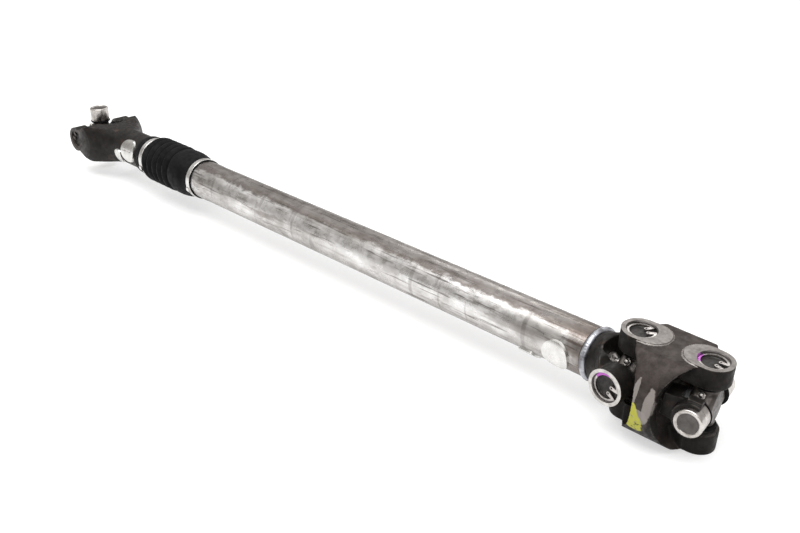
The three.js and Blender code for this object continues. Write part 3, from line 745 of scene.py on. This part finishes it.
def add_cross(prefix, joint_frame, body, has_pin_hole):
    """A cross with its grease fitting and its four seals."""
    finish_piece(cross(has_pin_hole), f"{prefix}_cross", joint_frame, body, "ground_steel", CROSS_STEEL)
    finish_piece(
        grease_fitting(), f"{prefix}_grease_fitting", joint_frame, body, "plate_steel", FITTING_STEEL
    )
    for label, direction in ROUND_THE_CROSS.items():
        lip = along(direction, seal())
        finish_piece(lip, f"{prefix}_seal_{label}", joint_frame, body, "seal_rubber", SEAL_RUBBER)


ROUND_THE_CROSS = {"near": "-y", "far": "y", "upper": "z", "lower": "-z"}

add_cross("axle", axle_frame, "axle_cross", False)
add_cross("inner", inner_cross_frame, "inner_cross", True)
add_cross("outer", outer_cross_frame, "outer_cross", False)

# cross, cap, frame, body, and how far round the cap's snap ring is turned (None on a bare cap)
BEARINGS = [
    ("axle", "near", axle_frame, "slip_yoke", 150),
    ("axle", "far", axle_frame, "slip_yoke", -30),
    ("axle", "upper", axle_frame, "axle_upper_cap", None),
    ("axle", "lower", axle_frame, "axle_lower_cap", None),
    ("inner", "near", tube_frame, "tube", -25),
    ("inner", "far", tube_frame, "tube", -50),
    ("inner", "upper", link_frame, "link_yoke", -45),
    ("inner", "lower", link_frame, "link_yoke", -70),
    ("outer", "upper", link_outer_frame, "link_yoke", -95),
    ("outer", "lower", link_outer_frame, "link_yoke", 20),
    ("outer", "near", output_frame, "centring_yoke", None),
    ("outer", "far", output_frame, "centring_yoke", None),
]

RING_STEELS = {
    "inner_snap_ring_near": DYED_NEAR_RING,
    "outer_snap_ring_upper": DYED_OUTER_RING,
    "axle_snap_ring_near": CROSS_STEEL,
    "axle_snap_ring_far": CROSS_STEEL,
}
for prefix, label, joint_frame, body, ring_turn in BEARINGS:
    add_cap(prefix, label, joint_frame, body, ring_turn is None)
for prefix, label, joint_frame, body, ring_turn in BEARINGS:
    if ring_turn is not None:
        add_snap_ring(prefix, label, joint_frame, body, ring_turn)


# ---------------- forks
def fork_side(neck_radius, neck_x, belly, end_x):
    """Round ears that spread to a corner and then run into the neck, seen from the side (x, z)."""
    upper = [(end_x, neck_radius), (neck_x, neck_radius), (neck_x * EAR_CORNER, belly)]
    upper += arc(0, 0, EAR_RADIUS, 62, 180, 24)
    lower = [(x, -z) for x, z in reversed(upper)]
    return upper + lower[1:]


def throat(depth):
    """The gap between the ears, in plan (x, y)."""
    bend = depth * 0.5
    half = [(-70, EAR_INNER), (bend, EAR_INNER)]
    half += bezier((bend, EAR_INNER), (depth * 0.85, EAR_INNER), (depth, EAR_INNER * 0.5), (depth, 0))
    return half + [(x, -y) for x, y in reversed(half[:-1])]


def fork_envelope(outer, neck_radius, neck_x, shoulder_x, end_x):
    """A turned blank that a fork is cut from: full width over the ears, then an S down to the neck."""
    outline = [(-30, 0), (-30, outer), (shoulder_x, outer)]
    for step in range(1, 12):
        part = step / 12
        eased = part * part * (3 - 2 * part)
        outline.append((shoulder_x + (neck_x - shoulder_x) * part, outer + (neck_radius - outer) * eased))
    return lathe(outline + [(neck_x, neck_radius), (end_x, neck_radius), (end_x, 0)])


def ear_stop(axis):
    """Everything between the two machined ear faces on an axis."""
    size = [600, 600, 600]
    size["xyz".index(axis)] = 2 * EAR_FACE
    return box(size)


def fork(side, throat_outline, envelope):
    """Forged fork: its ears are forged too long and then machined flat."""
    body = prism(side, -EAR_FACE - 1.5, EAR_FACE + 1.5, "y")
    common(body, envelope)
    join(body, rod("y", EAR_RADIUS, -EAR_FACE - 5, EAR_FACE + 5))
    cut(body, prism(throat_outline, -80, 80, "z"))
    forge(body, 0.9, 6)
    return common(body, ear_stop("y"))


def slip_yoke():
    body = fork(
        fork_side(NECK_RADIUS, NECK_START, 27.4, NECK_END),
        throat(SLIP_THROAT),
        fork_envelope(50.0, NECK_RADIUS, NECK_START, 28, NECK_END),
    )
    join(body, rod("x", SLEEVE_RADIUS, NECK_END - 4, SLEEVE_END))
    plug_seat = 74
    hollow = rod("x", SPLINE_TIP + 0.4, plug_seat, SLEEVE_END + 5)
    plug_hole = rod("x", 17, SLIP_THROAT - 15, plug_seat)
    return cut(body, *ear_bores("y"), hollow, plug_hole)


def ring_faces(axis_name):
    """Picks a machined ear face: flat, at the ear face's distance."""
    index = "xyz".index(axis_name)
    def pick(place, normal):
        return abs(place[index]) > EAR_FACE - 1.0 and abs(normal[index]) > 0.6
    return pick


def bore_faces(axis_name, centres):
    """Picks the walls of the bearing bores."""
    index = "xyz".index(axis_name)
    def pick(place, normal):
        if not EAR_INNER - 1 < abs(place[index]) < EAR_FACE - 0.05:
            return False
        flat = place.copy()
        flat[index] = 0
        return any((flat - Vector((x, 0, 0))).length < GROOVE_RADIUS + 1.2 for x in centres)
    return pick


slip = slip_yoke()
paint_faces(slip, 1, bore_faces("y", [0.0]))
finish_piece(slip, "slip_yoke", axle_frame, "slip_yoke", "dark_forging", DARK_FORGING, CAP_RECESS)

plug_rim = [(70, 0), (70, 15.5), (70.8, 16.6), (72.5, 16.6), (72.5, 14.8)]
plug = lathe(plug_rim + [(71.4, 14), (71.4, 4), (72.1, 3), (72.1, 0)])
finish_piece(plug, "slip_yoke_plug", axle_frame, "slip_yoke", "plate_steel", PLATE_STEEL)


def tube_yoke():
    shoulder = TUBE_YOKE_NECK - 4
    body = fork(
        fork_side(TUBE_RADIUS, shoulder, 20.5, TUBE_YOKE_NECK),
        throat(TUBE_YOKE_THROAT),
        fork_envelope(47.7, TUBE_RADIUS, shoulder, 4, TUBE_YOKE_NECK),
    )
    join(body, rod("x", SPIGOT_RADIUS, TUBE_YOKE_NECK - 3, TUBE_YOKE_NECK + 30))
    outside = TUBE_YOKE_NECK + 40
    pin_hole = rod("x", PIN_SHANK_RADIUS + 0.1, 0, outside)
    spigot_hollow = rod("x", SPIGOT_RADIUS - 5, TUBE_YOKE_NECK + 12, outside)
    cut(body, *ear_bores("y"), pin_hole, spigot_hollow)
    return turned(body, Matrix.Rotation(math.pi, 4, "Z"))


front = tube_yoke()
paint_faces(front, 1, ring_faces("y"))
paint_faces(front, 2, bore_faces("y", [0.0]))
finish_piece(front, "tube_yoke", tube_frame, "tube", "dark_forging", DARK_FORGING, RIM_STEEL, TUBE_BORE)


# ---------------- link yoke
def ear_pad(x, facing, reach, radius):
    """The outline of an ear about a cross, drawn out towards the middle of the link yoke."""
    outline = arc(0, 0, radius, 90, 270, 32) + arc(reach, 0, radius, -90, 90, 32)
    return [(x + facing * px, py) for px, py in outline][::facing]


def link_yoke():
    """Barrel with flat top and bottom, four ears, an arch round each cross and a cavity right through."""
    start, end = 4.5, CROSS_SPACING - 4.5
    body = lathe([
        (start, 0), (start, LINK_RADIUS - 3), (start + 6, LINK_RADIUS + 0.3),
        (end - 6, LINK_RADIUS + 0.3), (end, LINK_RADIUS - 3), (end, 0),
    ])
    common(body, box((300, 300, 2 * LINK_TOP)))
    ears = [(0.0, 1, 9.0), (CROSS_SPACING, -1, 7.5)]
    for ear in ears:
        join(body, prism(ear_pad(*ear, LINK_EAR_RADIUS + 0.3), 0, EAR_FACE + 5, "z"))
        join(body, prism(ear_pad(*ear, LINK_LOWER_EAR_RADIUS + 0.3), -EAR_FACE - 1.2, 0, "z"))
    arch_inner = LINK_EAR_RADIUS + 1
    for x, _, _ in ears:
        for low, high in ((arch_inner, 90), (-90, -arch_inner)):
            cut(body, prism(ellipse(x, ARCH_HALF_LENGTH, ARCH_HALF_HEIGHT), low, high, "y"))
    corner = 13
    half_width, half_height = LINK_CAVITY_HALF_WIDTH - corner, EAR_INNER - corner
    cavity = arc(half_width, half_height, corner, 0, 90, 12)
    cavity += arc(-half_width, half_height, corner, 90, 180, 12)
    cavity += [(-y, -z) for y, z in cavity]
    cut(body, prism(cavity, -80, CROSS_SPACING + 80, "x"))
    forge(body, 0.9, 8)
    common(body, moved(ear_stop("z"), CROSS_SPACING / 2))
    bores = [moved(bore, x) for x in (0, CROSS_SPACING) for bore in ear_bores("z")]
    return cut(body, *bores)


link = link_yoke()
paint_faces(link, 1, ring_faces("z"))
paint_faces(link, 2, bore_faces("z", [0.0, CROSS_SPACING]))
finish_piece(link, "link_yoke", link_frame, "link_yoke", "link_forging", LINK_FORGING, PAD_STEEL, LINK_BORE)


# ---------------- centring yoke, pin, ball and spring
def centring_yoke():
    """Two arms with open saddles on the bare caps, and a bridge that carries the ball socket."""
    shoulder_x, shoulder_z = -SADDLE_RADIUS * 0.6, SADDLE_RADIUS * 0.8
    upper = [(0, SADDLE_RADIUS), (shoulder_x, shoulder_z), (BRIDGE, 11)]
    lower = [(x, -z) for x, z in reversed(upper)]
    body = prism(lower + upper, -STRAP_FACE, STRAP_FACE, "y")
    inner = EAR_INNER + GAP
    for sign in (-1, 1):
        low, high = sorted((sign * inner, sign * SADDLE_FACE))
        saddle = rod("y", SADDLE_RADIUS, low, high)
        lug_size = (13, high - low - 3, 6)
        lug_y = (low + high) / 2 - sign * 1.5
        lugs = [box(lug_size, (SADDLE_END - 6.5, lug_y, end * 16)) for end in (-1, 1)]
        join(body, saddle, *lugs)
    cut(body, box((40, 120, 60), (SADDLE_END + 20, 0, 0)))
    gap = [(60, inner), (-15, inner), (-15.7, EAR_INNER - 2)]
    gap = [(x, -y) for x, y in gap] + gap[::-1]
    cut(body, prism(gap, -60, 60, "z"))
    forge(body, 0.6, 3)
    join(body, rod("x", SOCKET_RADIUS, SOCKET_MOUTH, SOCKET_BACK))
    socket = rod("x", SOCKET_BORE, SOCKET_MOUTH - 6, SOCKET_BACK - 2)
    return cut(body, rod("y", CAP_RADIUS + 0.1, -60, 60), socket)


finish_piece(
    centring_yoke(), "centring_yoke", output_frame, "centring_yoke", "dark_forging", DARK_FORGING
)

pin_tip = BALL_OFFSET + 9.4
pin_shank = [(-47, 0), (-47, PIN_SHANK_RADIUS), (-24, PIN_SHANK_RADIUS), (-22.5, PIN_SHANK_RADIUS - 1.2)]
pin_stem = [(-20, PIN_RADIUS), (pin_tip - 1, PIN_RADIUS), (pin_tip, PIN_RADIUS - 1), (pin_tip, 0)]
pin = lathe(pin_shank + pin_stem)
finish_piece(pin, "centring_pin", tube_frame, "tube", "ground_steel", GROUND_STEEL)

flat = math.degrees(math.asin((PIN_RADIUS + 0.1) / BALL_RADIUS))
ball_outline = arc(BALL_OFFSET, 0, BALL_RADIUS, flat, 180 - flat, 40)
finish_piece(lathe(ball_outline), "centring_ball", tube_frame, "tube", "ground_steel", GROUND_STEEL)


def coil(start, end, radius, wire, turns):
    """Round wire wound about X."""
    steps = 120
    x_axis = Vector((1, 0, 0))
    round_wire = [math.pi * k / 5 for k in range(10)]
    rings = []
    for step in range(steps + 1):
        part = step / steps
        angle = 2 * math.pi * turns * part
        out = Vector((0, math.cos(angle), math.sin(angle)))
        middle = Vector((start + (end - start) * part, 0, 0)) + out * radius
        rings.append([middle + wire * (out * math.cos(a) + x_axis * math.sin(a)) for a in round_wire])
    return skin(rings, closed=False)


spring = coil(-19, -23.6, 8.8, 0.6, 2.5)
finish_piece(spring, "centring_spring", output_frame, "centring_yoke", "spring_steel", SPRING_STEEL)


# ---------------- tube, welds and balance weights
def on_tube(x):
    """A place measured from the axle cross, as seen from the inner cross."""
    return x - SHAFT_LENGTH


tube_end = SHAFT_LENGTH - FRONT_WELD - WELD_HALF_GAP
tube_outline = [
    (TUBE_START, TUBE_RADIUS - TUBE_WALL), (TUBE_START, TUBE_RADIUS),
    (BOOT_END + 1, TUBE_RADIUS + 0.02), (BOOT_END + 4, TUBE_RADIUS + 0.35),
    (BOOT_END + 12, TUBE_RADIUS + 0.3), (BOOT_END + 18, TUBE_RADIUS),
    (500, TUBE_RADIUS), (720, TUBE_RADIUS), (tube_end - 0.8, TUBE_RADIUS),
    (tube_end, TUBE_RADIUS - 0.8), (tube_end, TUBE_RADIUS - TUBE_WALL),
]
tube = lathe([(on_tube(x), radius) for x, radius in tube_outline], 160)
finish_piece(tube, "drive_tube", tube_frame, "tube", "tube_steel", TUBE_STEEL)


def weld_bead(middle, half_width, inner, outer):
    """A welded ring whose surface keeps the overlapping ripples of each pass."""
    ripples, depth, crown = 58, 0.22, 2.1
    steps = ripples * 6
    profile = arc(0, 0, 1, 180, 0, 10)
    rings = []
    for step in range(steps):
        angle = 2 * math.pi * step / steps
        ripple = depth * abs(math.sin(ripples * angle / 2))
        ripple += 0.25 * math.sin(3 * angle) + 0.15 * math.sin(7 * angle)
        points = [(middle - half_width, inner)]
        for across, height in profile:
            radius = outer - crown + (crown + ripple * height) * height
            points.append((middle + half_width * across, radius))
        points += [(middle + half_width, inner)]
        rings.append([(x, r * math.cos(angle), r * math.sin(angle)) for x, r in points])
    return skin(rings)


bead = weld_bead(-FRONT_WELD, 3.5, SPIGOT_RADIUS + GAP, TUBE_RADIUS + 1.9)
finish_piece(bead, "tube_weld", tube_frame, "tube", "weld_steel", WELD_METAL)
stub_bead = weld_bead(on_tube(TUBE_START - 2.2), 1.9, SPIGOT_RADIUS + GAP, TUBE_RADIUS - 0.6)
finish_piece(stub_bead, "stub_weld", tube_frame, "tube", "weld_steel", WELD_METAL)


def balance_weight(inner, thickness, low_x, high_x, low_angle, high_angle, corner):
    """A curved plate with round corners and two spot-weld dimples; 0 degrees is -Y, 90 is up."""
    outer = inner + thickness
    plate = lathe([(low_x, inner), (low_x, outer), (high_x, outer), (high_x, inner)], 180)
    middle = math.radians((low_angle + high_angle) / 2)
    half_arc = math.radians((high_angle - low_angle) / 2)
    half_width = outer * math.sin(half_arc)
    half_length = (high_x - low_x) / 2
    middle_x = (low_x + high_x) / 2
    outline = []
    for sign_x, sign_y, start in ((1, 1, 0), (-1, 1, 90), (-1, -1, 180), (1, -1, 270)):
        corner_x = middle_x + sign_x * (half_length - corner)
        corner_y = sign_y * (half_width - corner)
        outline += arc(corner_x, corner_y, corner, start, start + 90, 10)
    stamp = prism(outline, 5, 60, "z")
    # the stamp faces +Z; turn it down to the weight's middle angle, measured up from -Y
    to_place = Matrix.Rotation(math.pi / 2 - middle, 4, "X")
    common(plate, turned(stamp, to_place))
    dimple_radius, dimple_depth = 3.2, 0.6
    dimples = []
    for shift in (-0.42, 0.42):
        dent = lathe(arc(0, 0, dimple_radius, 0, 180, 10), 24)
        moved(dent, middle_x + shift * half_length, 0, outer + dimple_radius - dimple_depth)
        dimples.append(turned(dent, to_place))
    return cut(plate, *dimples)


SLIP_NECK_SEAT = NECK_RADIUS + 0.1
TUBE_SEAT = TUBE_RADIUS + 0.05
# node, body, frame, then seat radius, thickness, start and end along X, start and end angle, corner radius
WEIGHTS = [
    ("slip_weight_large", "slip_yoke", axle_frame, (SLIP_NECK_SEAT, 2.6, 107, 142, -20, 50, 15)),
    ("slip_weight_small", "slip_yoke", axle_frame, (SLIP_NECK_SEAT, 2.2, 87, 104, -42, 4, 6)),
    ("tube_weight_large", "tube", tube_frame, (TUBE_SEAT, 2.4, -88, -57, -42, 23, 14)),
    ("tube_weight_small", "tube", tube_frame, (TUBE_SEAT, 2.2, -124, -103, -82, -36, 6)),
]
for node, body, joint_frame, sizes in WEIGHTS:
    finish_piece(balance_weight(*sizes), node, joint_frame, body, "plate_steel", PLATE_STEEL)


# ---------------- boot and clamps
def boot():
    """Collar on the neck, round folds, a smooth skirt and a collar on the tube."""
    small_clamp_end = SMALL_CLAMP_START + CLAMP_WIDTH
    outer = [
        (BOOT_START, 26.2), (BOOT_START + 0.6, 27.4), (BOOT_START + 2, 28), (SMALL_CLAMP_START - 1.4, 28),
        (SMALL_CLAMP_START - 1, 27.1), (small_clamp_end + 1, 27.1), (small_clamp_end + 1.4, 28),
    ]
    fold_steps = 12
    for step in range(FOLD_COUNT * fold_steps + 1):
        part = step / fold_steps
        crest = abs(math.sin(math.pi * part)) ** 0.8
        outer.append((FIRST_FOLD + FOLD_PITCH * part, FOLD_ROOT + FOLD_DEPTH * crest))
    outer += [
        (240, 30.2), (244, 31.2), (249, 31.5), (256, 31.5), (262, 31.1),
        (268, 30.2), (273, 28.6), (277, 27.4), (281, 26.95),
    ]
    collar = LARGE_CLAMP_START + CLAMP_WIDTH
    lip = collar + 1.6
    outer += [
        (LARGE_CLAMP_START - 0.6, 26.45), (collar + 0.4, 26.45), (collar + 0.6, 26.9),
        (lip - 0.5, 26.9), (lip, 26.5),
    ]
    on_tube_bore, on_neck_bore = TUBE_RADIUS + 0.05, NECK_RADIUS + 0.05
    inner = [
        (lip, on_tube_bore), (270, on_tube_bore), (258, 28.8), (236, 27.4), (176, 26.3),
        (172, on_neck_bore), (BOOT_START, on_neck_bore),
    ]
    return lathe([(on_tube(x), radius) for x, radius in outer + inner], 128)


bellows = finish_piece(boot(), "boot", tube_frame, None, "boot_rubber", BOOT_RUBBER)
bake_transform(bellows)


def band_clamp(start, inner, outer):
    """A pinched steel band: rolled edges and one squeezed ear underneath."""
    end = start + CLAMP_WIDTH
    edge, ear_height, ear_half_width = 0.35, 2.4, 4.2
    outline = [(start, inner), (start, outer - edge), (start + edge, outer)]
    outline += [(end - edge, outer), (end, outer - edge), (end, inner)]
    band = lathe(outline, 128)
    half_round = arc(0, 0, 1, 0, 180, 16)
    ear = [(outer - 0.4 + ear_height * height, ear_half_width * across) for across, height in half_round]
    pinch = prism(ear, start + 0.8, end - 0.8, "x")
    return join(band, turned(pinch, Matrix.Rotation(math.radians(200), 4, "X")))


small_clamp = band_clamp(SMALL_CLAMP_START, 27.15, 28.2)
finish_piece(small_clamp, "boot_clamp_small", axle_frame, "slip_yoke", "plate_steel", PLATE_STEEL)
large_clamp = band_clamp(on_tube(LARGE_CLAMP_START), 26.5, 27.6)
finish_piece(large_clamp, "boot_clamp_large", tube_frame, "tube", "plate_steel", PLATE_STEEL)


# ---------------- spline stub
def spline_stub():
    """Male spline, plain shank, and the shoulder and spigot that the tube is welded to."""
    pitch = 360 / SPLINE_TEETH
    half_tooth = [(0.17, SPLINE_TIP), (0.24, SPLINE_ROOT + 0.5), (0.32, SPLINE_ROOT)]
    profile = [(-shift, radius) for shift, radius in reversed(half_tooth)] + half_tooth
    outline = []
    for tooth in range(SPLINE_TEETH):
        for shift, radius in profile:
            angle = math.radians((tooth + shift) * pitch)
            outline.append((radius * math.cos(angle), radius * math.sin(angle)))
    spline = prism(outline, 118, 228, "x")
    shoulder_radius, bore_radius = TUBE_RADIUS - 0.6, SPIGOT_RADIUS - 5
    shank = lathe([
        (226, 0), (226, SPLINE_ROOT - 1), (248, SPLINE_ROOT - 1), (250, SPLINE_ROOT + 1),
        (250, shoulder_radius), (257.5, shoulder_radius), (257.5, SPIGOT_RADIUS),
        (284, SPIGOT_RADIUS), (284, bore_radius), (268, bore_radius), (268, 0),
    ])
    return moved(join(spline, shank), on_tube(0))


finish_piece(spline_stub(), "spline_stub", tube_frame, "tube", "ground_steel", GROUND_STEEL)


# ---------------- floor, light and camera
def stage_floor():
    """A white floor that glows a little, so that shadows on it stay pale."""
    bm = bmesh.new()
    bmesh.ops.create_grid(bm, x_segments=1, y_segments=1, size=14)
    floor = shape_from(bm, "floor")
    material = bpy.data.materials.new("floor_white")
    material.use_nodes = True
    shader = material.node_tree.nodes["Principled BSDF"]
    shader.inputs["Base Color"].default_value = (0.5, 0.5, 0.5, 1)
    shader.inputs["Roughness"].default_value = 0.9
    shader.inputs["Specular IOR Level"].default_value = 0.1
    shader.inputs["Emission Color"].default_value = (1, 1, 1, 1)
    shader.inputs["Emission Strength"].default_value = 0.54
    floor.data.materials.append(material)
    floor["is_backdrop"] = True


def area_light(name, place, target, size, power):
    data = bpy.data.lights.new(name, "AREA")
    data.shape = "RECTANGLE"
    data.size, data.size_y = size
    data.energy = power
    light = bpy.data.objects.new(name, data)
    light.location = place
    light.rotation_mode = "QUATERNION"
    light.rotation_quaternion = (Vector(target) - Vector(place)).to_track_quat("-Z", "Y")
    bpy.context.scene.collection.objects.link(light)


def studio():
    """A white room: bright overhead, dimmer low down behind, so round steel keeps a dark upper band."""
    world = bpy.data.worlds.new("studio")
    bpy.context.scene.world = world
    world.use_nodes = True
    tree = world.node_tree
    background = tree.nodes["Background"]
    direction = tree.nodes.new("ShaderNodeTexCoord").outputs["Generated"]
    split = tree.nodes.new("ShaderNodeSeparateXYZ")
    tree.links.new(direction, split.inputs[0])
    ramp = tree.nodes.new("ShaderNodeValToRGB")
    tree.links.new(split.outputs["Z"], ramp.inputs["Fac"])
    stops = ramp.color_ramp.elements
    stops[0].position, stops[0].color = 0.0, (0.40, 0.39, 0.38, 1)
    stops[1].position, stops[1].color = 0.8, (1.0, 1.0, 1.0, 1)
    middle = stops.new(0.35)
    middle.color = (0.30, 0.285, 0.27, 1)
    tree.links.new(ramp.outputs["Color"], background.inputs["Color"])
    background.inputs["Strength"].default_value = 1.2
    area_light("overhead", (0.2, -0.7, 2.4), (0.1, 0, 0), (3.0, 1.6), 62)
    area_light("front_fill", (2.0, -2.4, 1.6), (0.2, 0, 0.03), (1.2, 1.0), 8)
    area_light("back_rim", (-1.2, 2.2, 1.6), (0, 0, 0.03), (1.6, 0.8), 10)


def photo_camera():
    """Looks down at the double joint, along the shaft to the axle end."""
    data = bpy.data.cameras.new("camera")
    data.sensor_width = 36
    data.lens = 48.08
    data.clip_start, data.clip_end = 0.01, 60
    camera = bpy.data.objects.new("camera", data)
    bpy.context.scene.collection.objects.link(camera)
    bpy.context.scene.camera = camera
    yaw, pitch, roll = (math.radians(v) for v in (137.945, -24.622, -0.734))
    forward = Vector((math.cos(pitch) * math.cos(yaw), math.cos(pitch) * math.sin(yaw), math.sin(pitch)))
    right = forward.cross(Vector((0, 0, 1))).normalized()
    up = right.cross(forward)
    rolled_right = right * math.cos(roll) + up * math.sin(roll)
    rolled_up = up * math.cos(roll) - right * math.sin(roll)
    turn = Matrix((rolled_right, rolled_up, -forward)).transposed().to_4x4()
    camera.matrix_world = Matrix.Translation((0.94739, -0.72428, 0.54662)) @ turn


stage_floor()
studio()
photo_camera()
bpy.context.scene.view_settings.view_transform = "Standard"

look_low, look_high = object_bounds()
sizes = {"cad": [list(cad_low), list(cad_high)], "visual": [list(look_low), list(look_high)]}
